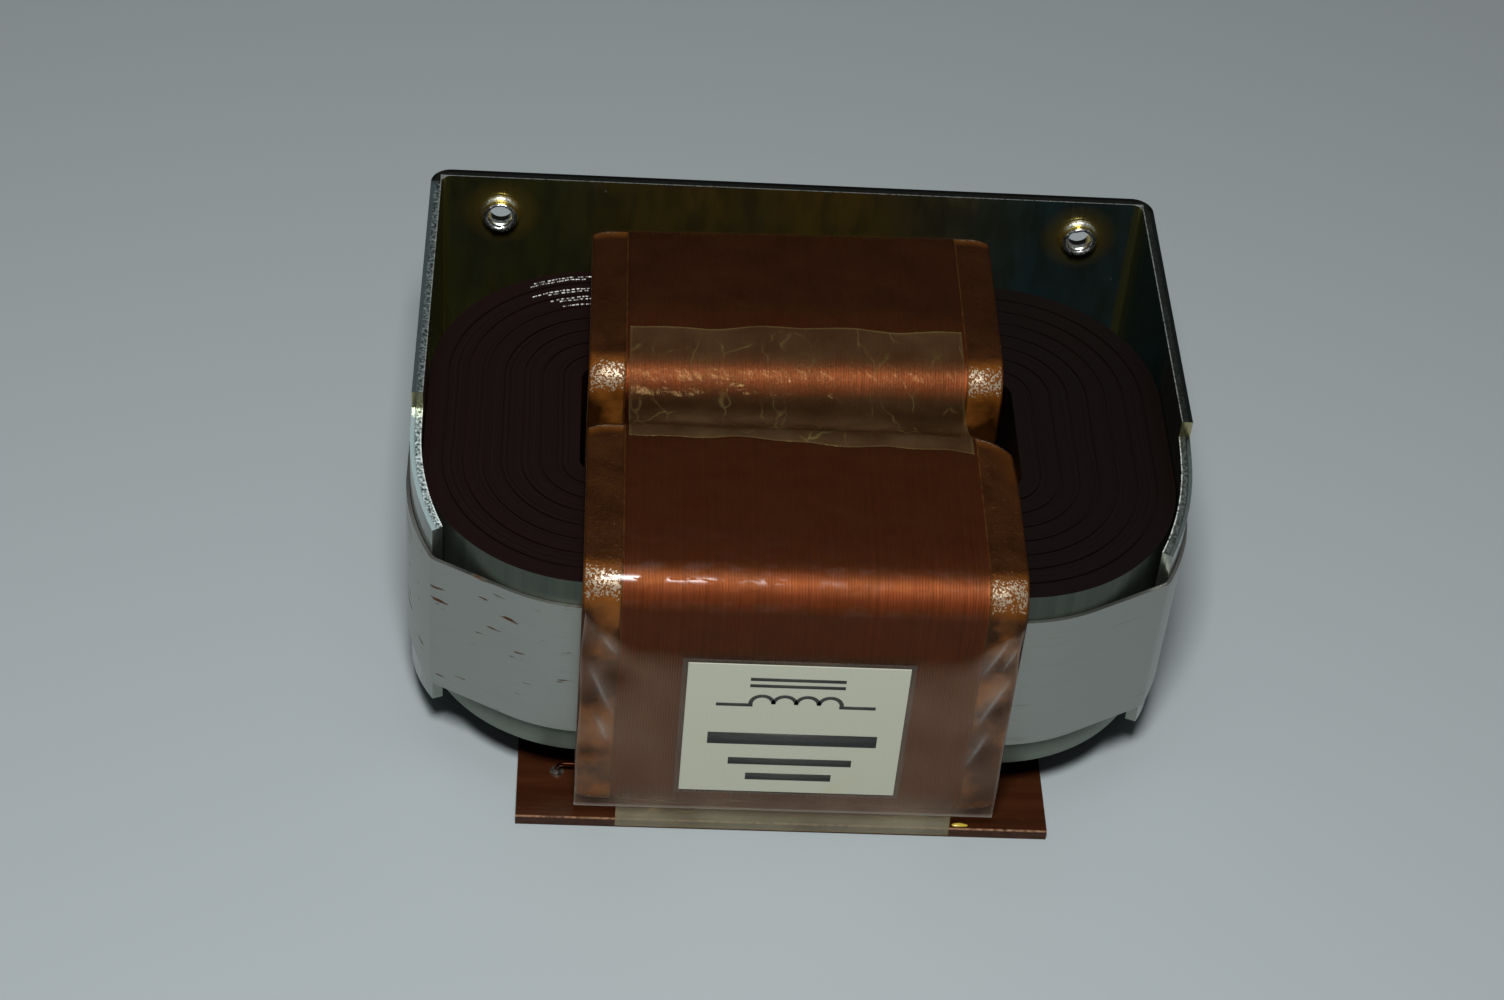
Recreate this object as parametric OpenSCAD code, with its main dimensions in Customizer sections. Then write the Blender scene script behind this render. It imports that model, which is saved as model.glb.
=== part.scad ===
// Choke inductor: two layer-wound coils on a cut, strip-wound core, clamped in a sheet-steel
// bracket by a thin steel band. Millimetres, +Z up, the label faces -Y, the bracket's plate +Y.

/* [Coils] */
// Length of each coil with its film margins
coil_l = 57; // [48:0.5:66]
// Length of the bare film margin at each end of a coil
margin_w = 5; // [3:0.1:8]
// Wall of the pressboard former
former_t = 1.2; // [0.8:0.1:1.6]
// Height of the layers of wire
winding_build = 3.8; // [3.2:0.1:5]
// Thickness of the film wrapped round each coil
wrap_t = 0.2; // [0.1:0.05:0.4]
// Outer corner radius of a wrapped coil
coil_r = 5; // [4:0.25:6]
// How far the coils sit off the middle of the core legs, towards +X
coil_shift = -0.5; // [-1:0.1:1]
// Width of the valley between the two coils
valley_w = 9.1; // [6:0.1:14]

/* [Core] */
// Width of the wound core strip, which stands upright
core_strip_w = 32; // [28:0.5:38]
// Thickness of the wound stack of strip
core_build = 21; // [17:0.5:25]
// Room between a former's nearer end and the core window's rounded corners
coil_end_room = 0.4; // [0.1:0.1:2]
// Corner radius of the core window
window_r = 2.5; // [1:0.25:5]
// Air gap between the two core halves in each leg
gap_t = 0.6; // [0.2:0.1:1.5]
// Number of lamination lines that show on the core's top and bottom
lamination_lines = 7; // [3:1:12]
// Width of a lamination line
line_w = 0.25; // [0.15:0.05:0.5]
// Depth of a lamination line
line_depth = 0.2; // [0.1:0.05:0.4]

/* [Bracket] */
// Thickness of the bracket's sheet
sheet_t = 1.5; // [1:0.1:2]
// Height of the back plate and of the side walls
bracket_h = 47.6; // [44:0.1:54]
// Outer radius of the two bends
bend_r = 3; // [2.2:0.1:5]
// Free space between the back plate and the rear coil
plate_gap = 4.6; // [3:0.1:8]
// Room between a side wall and the core
side_clear = 0.1; // [0.05:0.05:0.3]
// Length of arm between the wall's step and the start of the arm's bend
arm_root = 3.3; // [1:0.1:6]
// Drop from the wall's edge to the root of the narrower arm
step_drop = 2.7; // [1:0.1:4]
// Height of an arm at its tip
arm_tip_h = 32; // [28:0.5:36]
// How much wider than the core's corner an arm is bent
arm_ease = 6.7; // [3:0.1:12]
// Angle through which an arm is bent
arm_a = 28; // [22:0.5:34]
// Distance of the tapped holes from the plate's sides
hole_edge_x = 10; // [7:0.5:14]
// Distance of the tapped holes from the plate's upper and lower edge
hole_edge_z = 6.3; // [4.5:0.1:9]
// Diameter of the tapped holes, M4 core
hole_d = 3.3; // [2.4:0.1:3.6]
// Outer diameter of the drawn collars
collar_d = 5.4; // [4.8:0.1:6]
// Height of the drawn collars above the sheet
collar_h = 0.9; // [0.8:0.05:1.8]
// Radius of the fillet between a collar and the sheet
collar_flare = 0.7; // [0.3:0.05:0.75]
// Width of the countersunk entry at both ends of each hole
hole_lead_in = 0.35; // [0.2:0.05:0.5]

/* [Clamping band] */
// Width of the band
band_w = 23.6; // [16:0.2:27]
// Thickness of the band
band_t = 0.5; // [0.3:0.05:0.8]
// Inner radius of the band's bend at an arm's tip
band_bend_r = 2; // [1.2:0.1:3]
// Length of the band's ends on the side walls, behind the start of the arms' bends
band_back = 8.4; // [2:0.2:14]
// Room under the band
band_seat = 0.05; // [0.02:0.01:0.1]
// Room between the band and the coil former that it passes through
band_room = 0.45; // [0.1:0.05:0.8]

/* [Terminal board] */
// How far the board stands out beyond each end of the coils
board_side = 7.8; // [6:0.1:11]
// How far the board stands out in front of the front coil
board_front = 0.6; // [0.5:0.1:2]
// How far the board stops short of the rear coil's back
board_short = 0.5; // [0:0.5:6]
// Thickness of the board
board_t = 1.6; // [1:0.1:2.4]
// Outer diameter of the eyelets' barrels
eyelet_d = 1.4; // [1.2:0.1:2]
// Wall of the eyelets' barrels
eyelet_wall = 0.2; // [0.15:0.05:0.3]
// Width of the eyelets' flanges beyond the barrel
eyelet_rim = 0.25; // [0.2:0.05:0.6]
// Thickness of the eyelets' flanges
eyelet_rim_t = 0.2; // [0.15:0.05:0.4]
// Width and depth of the eyelets' flared lower ends
eyelet_flare = 0.25; // [0.15:0.05:0.4]
// Distance of the eyelets from the coils' ends
eyelet_out = 2.4; // [2:0.1:3.4]
// Distance of the front left eyelet from the board's front edge
eyelet_left = 8.2; // [6:0.1:14]
// Distance of the front right eyelet from the board's front edge
eyelet_right = 20; // [14:0.5:26]
// Diameter of the coils' lead wires
lead_d = 0.5; // [0.3:0.05:0.7]
// Radius of the bend in a lead wire
lead_bend_r = 1; // [0.7:0.1:1.5]
// Straight length of a lead wire between its solder and its bend
lead_up = 0.2; // [0.1:0.1:0.7]
// Room round a solder joint in its eyelet and round an eyelet in the board
bore_clear = 0.05; // [0.02:0.01:0.1]
// Height of the solder cone on an eyelet
solder_h = 0.3; // [0.2:0.05:0.8]

/* [Films and label] */
// Thickness of the films and tapes
film_t = 0.15; // [0.1:0.05:0.2]
// Height of the face film's lower edge above the board
film_lift = 2; // [1:0.1:3]
// Distance of the face film's upper edge below the top of the coil
film_drop = 11.7; // [11:0.1:13]
// How far the face film's upper corners are drawn up beyond that edge
film_rise = 6.3; // [2:0.1:6.5]
// Width of the face film's drawn-up corners
film_rise_w = 7; // [4:0.5:12]
// Width of the paper label
label_w = 29; // [20:0.5:40]
// Height of the paper label
label_h = 24.5; // [16:0.5:26]
// Height of the label's lower edge above the board
label_lift = 6.2; // [5.5:0.1:7]
// Thickness of the label
label_t = 0.15; // [0.1:0.05:0.2]
// Distance of the board's tape from the ends of the coils
board_tape_in = 5.7; // [0.5:0.1:10]
// Height of the tape's upper edge above the board
board_tape_h = 5; // [3.5:0.1:5]
// Distance of the bridging tape from the ends of the coils
bridge_in = 5.5; // [0:0.5:10]
// Length of the bridging tape that lies flat on the rear coil
bridge_rear_l = 4.5; // [2:0.5:10]
// Length of the bridging tape that lies flat on the front coil
bridge_front_l = 1; // [0.5:0.5:6]
// Angle by which the bridging tape follows the coils' rounded edges into the valley
bridge_dip = 38; // [20:1:50]

/* [Hidden] */
$fn = 96;
// Overlap of a cut beyond the face it starts from
eps = 0.01;
// Largest angle between two points of a bent strip's line
arc_step = 2.5;

// Coil section, as distances from the core leg outwards
former_in = band_seat + band_t + band_room;
former_out = former_in + former_t;
winding_out = former_out + winding_build;
coil_build = winding_out + wrap_t;
former_r = 1;
winding_r = coil_r - wrap_t;
coil_end = coil_l / 2;

// Core outline: the window takes both coils, and the corners follow the window's.
// corner_relief is how far the window's rounded corner reaches along a former's wall.
corner_offset = max(window_r - former_in, 0);
corner_relief = corner_offset > 0 ? window_r - sqrt(pow(window_r, 2) - pow(corner_offset, 2)) : 0;
window_l = coil_l + 2 * (abs(coil_shift) + corner_relief + coil_end_room);
window_w = 2 * coil_build + valley_w;
core_l = window_l + 2 * core_build;
core_d = window_w + 2 * core_build;
core_r = window_r + core_build;

// Heights: the lower of the board's underside and the bracket's edge stands at Z = 0
mid_z = max(bracket_h / 2, board_t + coil_build + core_strip_w / 2);
coil_top = mid_z + core_strip_w / 2 + coil_build;
board_top = mid_z - core_strip_w / 2 - coil_build;
board_z = board_top - board_t;

// Depths: Y = 0 lies midway between the plate's outer face and the tape on the board's edge
depth = sheet_t + plate_gap + core_d + 2 * coil_build + board_front + film_t;
plate_y = depth / 2;
coil_rear_y = plate_y - sheet_t - plate_gap;
core_rear_y = coil_rear_y - coil_build;
core_front_y = core_rear_y - core_d;
core_mid_y = core_rear_y - core_d / 2;
coil_front_y = core_front_y - coil_build;
board_front_y = coil_front_y - board_front;
front_leg_y = core_front_y + core_build / 2;
rear_leg_y = core_rear_y - core_build / 2;

// Bracket: the arms start to bend where the core's front corners do
bracket_w = core_l + 2 * (side_clear + sheet_t);
corner_y = core_front_y + core_r;
wall_y = corner_y + arm_root;
arm_r = core_r + side_clear + sheet_t + arm_ease;
arm_c = [bracket_w / 2 - arm_r, corner_y];
tip_y = corner_y - arm_r * sin(arm_a);
hole_dx = bracket_w - 2 * hole_edge_x;
hole_dz = bracket_h - 2 * hole_edge_z;

// Band: the circles it bends round, and the angle of the line that touches both of them
band_core_c = [core_l / 2 - core_r, corner_y];
band_core_r = core_r + band_seat;
band_tip_c = arm_c + (arm_r - band_bend_r) * [cos(arm_a), -sin(arm_a)];
band_tip_r = band_bend_r + band_seat;
band_span = band_tip_c - band_core_c;
band_a = atan2(band_span[1], band_span[0]) - acos((band_core_r - band_tip_r) / norm(band_span));
band_end_y = corner_y + band_back;

// Eyelets
eyelet_x = coil_end + eyelet_out;
eyelet_r = eyelet_d / 2;
eyelet_bore_r = eyelet_r - eyelet_wall;
eyelet_left_y = board_front_y + eyelet_left;
eyelet_right_y = board_front_y + eyelet_right;

// Lead wires: how much a bend thins the wire, and the angle by which it runs into the straights
lead_thin = 0.02;
lead_lap_a = 4;

// Bridging tape: centres of the coils' rounded edges beside the valley, its sag, and the room under it
edge_z = coil_top - coil_r;
edge_y = valley_w / 2 + coil_r;
sag_r = edge_y / sin(bridge_dip) - coil_r;
sag_z = edge_z + (coil_r + sag_r) * cos(bridge_dip);
film_seat = 0.01;

module rounded_rect(w, h, r) {
    square([w - 2 * r, h], center = true);
    square([w, h - 2 * r], center = true);
    for (sx = [-1, 1], sy = [-1, 1])
        translate([sx * (w / 2 - r), sy * (h / 2 - r)]) circle(r = r);
}

// Ring segment from angle a0 to a1, less than a half turn
module arc_band(r_in, r_out, a0, a1) {
    far = 2 * r_out;
    am = (a0 + a1) / 2;
    intersection() {
        difference() {
            circle(r = r_out);
            circle(r = r_in);
        }
        polygon([[0, 0], far * [cos(a0), sin(a0)], far * [cos(am), sin(am)], far * [cos(a1), sin(a1)]]);
    }
}

// Points on an arc from angle a0 to a1; first = 1 leaves out the one at a0
function arc_points(c, r, a0, a1, first = 0) =
    let (n = ceil(abs(a1 - a0) / arc_step))
    [for (i = [first:n]) c + r * [cos(a0 + (a1 - a0) * i / n), sin(a0 + (a1 - a0) * i / n)]];

function reversed(points) = [for (i = [len(points) - 1:-1:0]) points[i]];

// Extrudes a section drawn as [Y, Z] along X, from x0
module along_x(x0, len) {
    translate([x0, 0, 0]) rotate([90, 0, 90]) linear_extrude(len) children();
}

module bracket_plan() {
    translate([-bracket_w / 2 + bend_r, plate_y - sheet_t]) square([bracket_w - 2 * bend_r, sheet_t]);
    for (side = [0, 1]) mirror([side, 0]) {
        translate([bracket_w / 2 - bend_r, plate_y - bend_r])
            arc_band(bend_r - sheet_t, bend_r, 0, 90);
        translate([bracket_w / 2 - sheet_t, corner_y])
            square([sheet_t, plate_y - bend_r - corner_y]);
        translate(arm_c) arc_band(arm_r - sheet_t, arm_r, -arm_a, 0);
    }
}

// Side view of the folded sheet: full height to the step, then narrowing to the arms' tips
module bracket_side() {
    half = bracket_h / 2;
    beyond = sheet_t;
    upper = [[plate_y + beyond, half], [wall_y, half], [wall_y, half - step_drop],
        [tip_y, arm_tip_h / 2], [tip_y - beyond, arm_tip_h / 2]];
    lower = [for (p = reversed(upper)) [p[0], -p[1]]];
    translate([0, mid_z]) polygon(concat(upper, lower));
}

module at_holes() {
    for (sx = [-1, 1], sz = [-1, 1])
        translate([sx * hole_dx / 2, plate_y, mid_z + sz * hole_dz / 2]) rotate([90, 0, 0]) children();
}

// Solid of a drawn collar, with its fillet on the sheet's inner face
module collar() {
    r = collar_d / 2;
    fillet_c = [r + collar_flare, sheet_t + collar_flare];
    fillet = [for (a = [270:-22.5:180]) fillet_c + collar_flare * [cos(a), sin(a)]];
    rotate_extrude() polygon(concat([[0, sheet_t / 2], [fillet[0][0], sheet_t / 2]], fillet,
        [[r, sheet_t + collar_h], [0, sheet_t + collar_h]]));
}

module mounting_bracket() {
    depth_in = sheet_t + collar_h - hole_lead_in;
    wide_d = hole_d + 2 * hole_lead_in;
    color("#98a39d")
    difference() {
        union() {
            intersection() {
                linear_extrude(mid_z + bracket_h) bracket_plan();
                along_x(-bracket_w, 2 * bracket_w) bracket_side();
            }
            at_holes() collar();
        }
        at_holes() {
            translate([0, 0, -sheet_t]) cylinder(d = hole_d, h = 3 * sheet_t + collar_h);
            translate([0, 0, -eps]) cylinder(d1 = wide_d, d2 = hole_d, h = hole_lead_in);
            translate([0, 0, depth_in]) cylinder(d1 = hole_d, d2 = wide_d, h = hole_lead_in + eps);
        }
    }
}

// Right half of the band, at a distance from the face it clamps with
function band_line(out) = concat(arc_points(band_core_c, band_core_r + out, -90, band_a),
    arc_points(band_tip_c, band_tip_r + out, band_a, -arm_a),
    arc_points(arm_c, arm_r + band_seat + out, -arm_a, 0, 1),
    [[bracket_w / 2 + band_seat + out, band_end_y]]);

module core_band() {
    right = concat(band_line(band_t), reversed(band_line(0)));
    left = [for (p = reversed(right)) [-p[0], p[1]]];
    color("#a3a7a6")
    translate([0, 0, mid_z - band_w / 2]) linear_extrude(band_w) polygon(concat(right, left));
}

// Outline of the wound strip at a distance from the window
module strip_outline(out) {
    rounded_rect(window_l + 2 * out, window_w + 2 * out, window_r + out);
}

module lamination_line(out) {
    linear_extrude(2 * line_depth, center = true) difference() {
        strip_outline(out + line_w / 2);
        strip_outline(out - line_w / 2);
    }
}

module core_half(side) {
    pitch = core_build / (lamination_lines + 1);
    color("#241518")
    translate([0, core_mid_y, mid_z]) intersection() {
        difference() {
            linear_extrude(core_strip_w, center = true) difference() {
                strip_outline(core_build);
                strip_outline(0);
            }
            for (face = [-1, 1], i = [1:lamination_lines])
                translate([0, 0, face * core_strip_w / 2]) lamination_line(i * pitch);
        }
        translate([side * (core_l + gap_t) / 2, 0, 0])
            cube([core_l, 2 * core_d, 2 * core_strip_w], center = true);
    }
}

module core_half_left() core_half(-1);
module core_half_right() core_half(1);

module gap_spacer(leg_y) {
    color("#cbb98d")
    translate([0, leg_y, mid_z]) cube([gap_t, core_build, core_strip_w], center = true);
}

module gap_spacer_front() gap_spacer(front_leg_y);
module gap_spacer_rear() gap_spacer(rear_leg_y);

// Rectangular ring round a core leg, between two distances from the leg
module leg_ring(leg_y, x0, len, out_a, r_a, out_b, r_b) {
    translate([coil_shift, leg_y, mid_z]) along_x(x0, len) difference() {
        rounded_rect(core_build + 2 * out_b, core_strip_w + 2 * out_b, r_b);
        rounded_rect(core_build + 2 * out_a, core_strip_w + 2 * out_a, r_a);
    }
}

module coil_former(leg_y) {
    color("#b08d57") leg_ring(leg_y, -coil_end, coil_l, former_in, former_r / 2, former_out, former_r);
}

module coil_former_front() coil_former(front_leg_y);
module coil_former_rear() coil_former(rear_leg_y);

module winding(leg_y) {
    color("#8a3b1a") leg_ring(leg_y, -coil_end + margin_w, coil_l - 2 * margin_w,
        former_out, former_r, winding_out, winding_r);
}

module winding_front() winding(front_leg_y);
module winding_rear() winding(rear_leg_y);

module margin(leg_y, side) {
    x0 = side < 0 ? -coil_end : coil_end - margin_w;
    color("#6b4014") leg_ring(leg_y, x0, margin_w, former_out, former_r, winding_out, winding_r);
}

module margin_front_left() margin(front_leg_y, -1);
module margin_front_right() margin(front_leg_y, 1);
module margin_rear_left() margin(rear_leg_y, -1);
module margin_rear_right() margin(rear_leg_y, 1);

module coil_wrap(leg_y) {
    color([0.42, 0.17, 0.07, 0.6])
        leg_ring(leg_y, -coil_end, coil_l, winding_out, winding_r, coil_build, coil_r);
}

module coil_wrap_front() coil_wrap(front_leg_y);
module coil_wrap_rear() coil_wrap(rear_leg_y);

// Stiff clear film on the front coil's face, with its upper corners drawn up to the coil's rounded edge
module face_film() {
    low = board_top + film_lift;
    high = coil_top - film_drop;
    corner = high + film_rise;
    color([0.55, 0.42, 0.36, 0.5])
    translate([coil_shift, coil_front_y, 0]) rotate([90, 0, 0]) linear_extrude(film_t)
        polygon([[-coil_end, low], [coil_end, low], [coil_end, corner],
            [coil_end - film_rise_w, high], [-coil_end + film_rise_w, high], [-coil_end, corner]]);
}

module face_label() {
    color("#d9dac6")
    translate([coil_shift - label_w / 2, coil_front_y - film_t - label_t, board_top + label_lift])
        cube([label_w, label_t, label_h]);
}

// Tape from the face film down over the board's front edge
module board_tape() {
    film_face = coil_front_y - film_t;
    inner = [[film_face, board_top + board_tape_h], [film_face, board_top + film_lift],
        [board_front_y, board_top], [board_front_y, board_z]];
    outer = [for (p = reversed(inner)) p - [film_t, 0]];
    color([0.66, 0.6, 0.5, 0.5])
    along_x(coil_shift - coil_end + board_tape_in, coil_l - 2 * board_tape_in)
        polygon(concat(inner, outer));
}

// Section of the bridging tape, at a distance from the coils' faces, with its sag into the valley
function bridge_line(out) = concat([[edge_y + bridge_rear_l, coil_top + out]],
    arc_points([edge_y, edge_z], coil_r + out, 90, 90 + bridge_dip),
    arc_points([0, sag_z], sag_r - out, 270 + bridge_dip, 270 - bridge_dip, 1),
    arc_points([-edge_y, edge_z], coil_r + out, 90 - bridge_dip, 90, 1),
    [[-edge_y - bridge_front_l, coil_top + out]]);

module bridge_tape() {
    color([0.6, 0.45, 0.25, 0.5])
    translate([0, core_mid_y, 0]) along_x(coil_shift - coil_end + bridge_in, coil_l - 2 * bridge_in)
        polygon(concat(bridge_line(film_seat + film_t), reversed(bridge_line(film_seat))));
}

// Places a shape at an eyelet: side -1 is left, 1 is right
module at_eyelet(side, y) {
    translate([coil_shift + side * eyelet_x, y, board_z]) mirror([side < 0 ? 1 : 0, 0, 0]) children();
}

module terminal_board() {
    board_l = coil_rear_y - board_short - board_front_y;
    board_w = coil_l + 2 * board_side;
    color("#4a1d12")
    difference() {
        translate([coil_shift - board_w / 2, board_front_y, board_z]) cube([board_w, board_l, board_t]);
        for (spot = [[-1, eyelet_left_y], [1, eyelet_right_y], [-1, rear_leg_y], [1, rear_leg_y]])
            at_eyelet(spot[0], spot[1]) {
                translate([0, 0, -eps]) cylinder(r = eyelet_r + bore_clear, h = board_t + 2 * eps);
                translate([0, 0, -eps]) cylinder(r1 = eyelet_r + eyelet_flare + bore_clear,
                    r2 = eyelet_r + bore_clear, h = eyelet_flare + bore_clear);
            }
    }
}

module eyelet(side, y) {
    rim_r = eyelet_r + eyelet_rim;
    rim_top = board_t + eyelet_rim_t;
    color("#b9bbb8")
    at_eyelet(side, y) rotate_extrude() polygon([[eyelet_bore_r + eyelet_flare, 0],
        [eyelet_r + eyelet_flare, 0], [eyelet_r, eyelet_flare], [eyelet_r, board_t], [rim_r, board_t],
        [rim_r, rim_top], [eyelet_bore_r, rim_top], [eyelet_bore_r, eyelet_flare]]);
}

module eyelet_front_left() eyelet(-1, eyelet_left_y);
module eyelet_front_right() eyelet(1, eyelet_right_y);
module eyelet_rear_left() eyelet(-1, rear_leg_y);
module eyelet_rear_right() eyelet(1, rear_leg_y);

// Lead wire out of a coil's end, bent down into its eyelet, with the solder that holds it
module lead(side, y) {
    rim_top = board_t + eyelet_rim_t;
    solder_top = rim_top + solder_h;
    bend_z = solder_top + lead_up;
    slug_r = eyelet_bore_r - bore_clear;
    wire_r = lead_d / 2;
    color("#a85a28")
    at_eyelet(side, y) {
        rotate_extrude() polygon([[0, eyelet_flare], [slug_r, eyelet_flare], [slug_r, rim_top],
            [wire_r, solder_top], [wire_r, bend_z], [0, bend_z]]);
        translate([-lead_bend_r, 0, bend_z]) rotate([90, 0, 0]) rotate([0, 0, -lead_lap_a])
            rotate_extrude(angle = 90 + 2 * lead_lap_a)
                translate([lead_bend_r, 0]) circle(r = wire_r - lead_thin);
        translate([-eyelet_out, 0, bend_z + lead_bend_r]) rotate([0, 90, 0])
            cylinder(r = wire_r, h = eyelet_out - lead_bend_r);
    }
}

module lead_front_left() lead(-1, eyelet_left_y);
module lead_front_right() lead(1, eyelet_right_y);
module lead_rear_left() lead(-1, rear_leg_y);
module lead_rear_right() lead(1, rear_leg_y);

mounting_bracket();
core_band();
core_half_left();
core_half_right();
gap_spacer_front();
gap_spacer_rear();
coil_former_front();
coil_former_rear();
winding_front();
winding_rear();
margin_front_left();
margin_front_right();
margin_rear_left();
margin_rear_right();
coil_wrap_front();
coil_wrap_rear();
face_film();
face_label();
board_tape();
bridge_tape();
terminal_board();
eyelet_front_left();
eyelet_front_right();
eyelet_rear_left();
eyelet_rear_right();
lead_front_left();
lead_front_right();
lead_rear_left();
lead_rear_right();
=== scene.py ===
import math

import bmesh
import bpy
from mathutils import Matrix, Vector, noise


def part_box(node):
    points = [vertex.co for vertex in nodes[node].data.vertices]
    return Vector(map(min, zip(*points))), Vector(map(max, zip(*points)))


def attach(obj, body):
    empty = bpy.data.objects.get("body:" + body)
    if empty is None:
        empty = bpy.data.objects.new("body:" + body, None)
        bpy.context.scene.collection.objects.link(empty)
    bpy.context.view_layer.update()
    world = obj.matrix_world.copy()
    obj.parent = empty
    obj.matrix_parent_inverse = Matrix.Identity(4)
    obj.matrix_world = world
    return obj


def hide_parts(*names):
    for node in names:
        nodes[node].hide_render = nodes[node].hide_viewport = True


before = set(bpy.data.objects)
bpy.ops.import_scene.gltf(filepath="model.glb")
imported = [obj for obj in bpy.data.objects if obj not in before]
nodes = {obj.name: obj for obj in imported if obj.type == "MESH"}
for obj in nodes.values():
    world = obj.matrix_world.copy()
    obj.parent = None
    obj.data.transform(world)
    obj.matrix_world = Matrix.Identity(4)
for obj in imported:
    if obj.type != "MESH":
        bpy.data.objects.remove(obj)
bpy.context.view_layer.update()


# Core: two halves cut from one stack of wound steel strip, bonded and dipped in dark varnish.
# Their cut ends meet at the air gaps inside the coils, with a pressboard spacer in each gap.
core_low, core_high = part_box("core_half_left")[0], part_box("core_half_right")[1]
core_mid = (core_low + core_high) / 2
core_corner = 0.0235


def finish(name, values):
    """A new material, its node tree and its shader, with the plain values set on the shader."""
    material = bpy.data.materials.new(name)
    material.use_nodes = True
    shader = material.node_tree.nodes["Principled BSDF"]
    for socket, value in values.items():
        shader.inputs[socket].default_value = value
    return material, material.node_tree, shader


def put(tree, kind, sockets, out=0, **settings):
    """Adds a shader node, sets or links its sockets, and gives back one of its outputs."""
    made = tree.nodes.new("ShaderNode" + kind)
    for key, value in settings.items():
        setattr(made, key, value)
    for key, value in sockets.items():
        if isinstance(value, bpy.types.NodeSocket):
            tree.links.new(value, made.inputs[key])
        else:
            made.inputs[key].default_value = value
    return made.outputs[out]


def feed(shader, socket, value):
    shader.id_data.links.new(value, shader.inputs[socket])


def emboss(shader, strength, depth, height):
    """Raises a shader's surface by a map of heights."""
    bump = put(shader.id_data, "Bump", {"Strength": strength, "Distance": depth, "Height": height})
    feed(shader, "Normal", bump)


def calc(operation, a, b=0.0):
    """One step of arithmetic, in the tree of whichever value is a socket."""
    tree = (a if isinstance(a, bpy.types.NodeSocket) else b).id_data
    return put(tree, "Math", {0: a, 1: b}, operation=operation)


def times(product, *factors):
    for factor in factors:
        product = calc("MULTIPLY", product, factor)
    return product


def plus(a, b):
    return calc("ADD", a, b)


def minus(a, b):
    return calc("SUBTRACT", a, b)


def unsigned(value):
    return calc("ABSOLUTE", value)


def length_of(vector):
    return put(vector.id_data, "VectorMath", {0: vector}, 1, operation="LENGTH")


def mix(share, a, b):
    a, b = (c if isinstance(c, bpy.types.NodeSocket) else (*c, 1.0) for c in (a, b))
    return put(share.id_data, "Mix", {0: share, 6: a, 7: b}, 2, data_type="RGBA")


def within(value, low, high, at_low=0.0, at_high=1.0):
    """Maps a value from one range to another, and holds it at both ends."""
    return put(value.id_data, "MapRange", {0: value, 1: low, 2: high, 3: at_low, 4: at_high})


def on_piece(tree):
    """Where a point lies on its piece, in the part's frame."""
    return put(tree, "TexCoord", {}, 3)


def axes(vector):
    return put(vector.id_data, "SeparateXYZ", {0: vector}).node.outputs[:]


def surface_axes(tree, smooth=False):
    """The direction that the surface faces, face by face or smoothed over them."""
    return axes(put(tree, "NewGeometry", {}, 1 if smooth else 3))


def new_group(name, inputs, outputs):
    """A shader node group with named sockets, and the sockets of its input and output nodes."""
    group = bpy.data.node_groups.new(name, "ShaderNodeTree")
    for way, sockets in (("INPUT", inputs), ("OUTPUT", outputs)):
        for socket, kind in sockets.items():
            group.interface.new_socket(socket, in_out=way, socket_type="NodeSocket" + kind)
    return group, group.nodes.new("NodeGroupInput").outputs, group.nodes.new("NodeGroupOutput").inputs


# Grain: noise that is drawn out along an axis where Stretch makes that axis smaller
grain_group, given, result = new_group(
    "drawn_grain", {"Place": "Vector", "Stretch": "Vector", "Scale": "Float", "Detail": "Float"},
    {"Grain": "Float"})
drawn = put(grain_group, "Mapping", {"Vector": given["Place"], "Scale": given["Stretch"]})
noisy = put(grain_group, "TexNoise", {"Vector": drawn, "Scale": given["Scale"], "Detail": given["Detail"]})
grain_group.links.new(noisy, result["Grain"])


def grain(place, scale, detail=3.0, stretch=(1, 1, 1)):
    return put(place.id_data, "Group", {"Place": place, "Stretch": stretch, "Scale": scale, "Detail": detail},
               node_tree=grain_group)


def lines(across, scale, detail):
    """Noise in lines that follow one another in one direction."""
    sockets = {"W": across, "Scale": scale, "Detail": detail}
    return put(across.id_data, "TexNoise", sockets, noise_dimensions="1D")


def paint(material, *names):
    for name in names:
        nodes[name].data.materials.clear()
        nodes[name].data.materials.append(material)


def add_piece(name, bm, material, slot, *stands_for):
    """Makes an object of a bmesh, fixed to the part, in place of the CAD nodes it stands for."""
    mesh = bpy.data.meshes.new(name)
    bmesh.ops.recalc_face_normals(bm, faces=bm.faces[:])
    for face in bm.faces:
        face.smooth = True
    bm.to_mesh(mesh)
    bm.free()
    mesh.materials.append(material)
    piece = bpy.data.objects.new(name, mesh)
    bpy.context.scene.collection.objects.link(piece)
    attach(piece, "root")
    if stands_for:
        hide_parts(*stands_for)
    return piece


core_finish, tree, shader = finish("varnished_strip", {"Specular IOR Level": 0.25})
place = on_piece(tree)
x, y, z = axes(place)
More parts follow.
